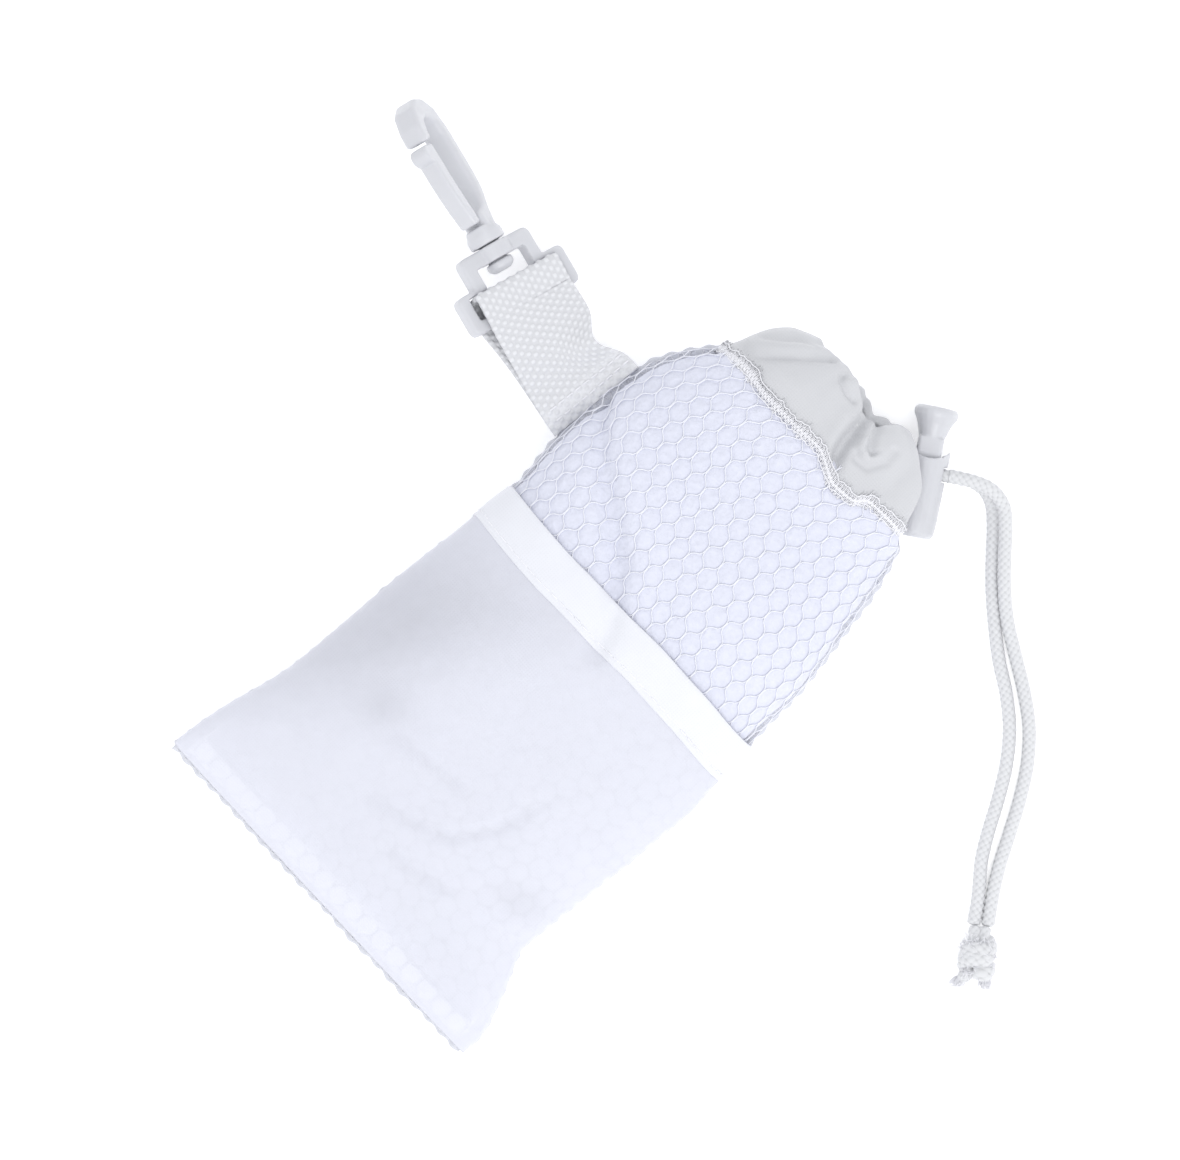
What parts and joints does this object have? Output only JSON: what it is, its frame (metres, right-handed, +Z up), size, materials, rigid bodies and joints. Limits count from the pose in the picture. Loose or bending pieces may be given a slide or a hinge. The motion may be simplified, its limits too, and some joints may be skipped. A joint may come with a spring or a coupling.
{
  "type": "drawstring mesh pouch",
  "caption": "Stuffed drawstring net pouch with a front pocket, barrel cord lock, free drawcord tails and a webbing tab with a swivel snap hook.",
  "frame": {"origin": "middle of the flat on the pouch's back, on the surface it lies on", "axes": "+Y from the bottom seam to the mouth, +X across the pouch to the cord lock's side, +Z up out of its pocket side"},
  "size_m": [0.2467, 0.1907, 0.0338],
  "materials": {
    "terry": "looped waffle terry",
    "net": "knitted hexagon net",
    "woven": "thin plain weave, slightly see-through",
    "thread": "overlock stitching",
    "webbing": "coarse basket weave",
    "braid": "round braid",
    "plastic": "moulded, satin",
    "steel": "bright spring wire"
  },
  "bodies": {
    "pouch": {"folded_towel": "terry", "back_mesh_panel": "net", "front_mesh_panel": "net", "left_side_seam": "net", "right_side_seam": "net", "bottom_seam": "net", "pocket_panel": "woven", "pocket_hem": "woven", "collar_seam": "thread", "collar_channel": "woven", "drawcord": "braid", "cord_tail_left": "braid", "cord_tail_right": "braid", "cord_knot": "braid"},
    "tab": {"webbing_tab": "webbing"},
    "eye": {"swivel_eye": "plastic"},
    "hook": {"hook_body": "plastic"},
    "gate": {"hook_gate": "plastic"},
    "lock": {"cord_lock_body": "plastic", "cord_lock_spring": "steel"},
    "plunger": {"cord_lock_plunger": "plastic"}
  },
  "joints": [
    {"name": "tab_flap", "type": "hinge", "parent": "pouch", "child": "tab", "pos_m": [-0.0426, 0.0449, 0.01075], "axis": [0.0659, 0.9978, 0], "range_deg": [-85, 85]},
    {"name": "eye_pivot", "type": "hinge", "parent": "tab", "child": "eye", "pos_m": [-0.06962, 0.04809, 0.0095], "axis": [0.1956, 0.861, -0.4695], "range_deg": [-80, 80]},
    {"name": "hook_swivel", "type": "hinge", "parent": "eye", "child": "hook", "pos_m": [-0.0745, 0.0492, 0.0095], "axis": [-0.9751, 0.2215, 0], "continuous": true},
    {"name": "gate_press", "type": "hinge", "parent": "hook", "child": "gate", "pos_m": [-0.092, 0.05163, 0.01342], "axis": [-0.2068, -0.9104, -0.3584], "range_deg": [0, 16], "stiffness_Nm_per_rad": 0.2, "springref_deg": -8.59},
    {"name": "lock_slide", "type": "slide", "parent": "pouch", "child": "lock", "axis": [0.8141, 0.5807, 0], "range_m": [0, 0.006]},
    {"name": "plunger_press", "type": "slide", "parent": "lock", "child": "plunger", "axis": [0.5807, -0.8141, 0], "range_m": [0, 0.004], "stiffness_N_per_m": 800, "springref_m": -0.003, "deforming": ["cord_lock_spring"]}
  ]
}
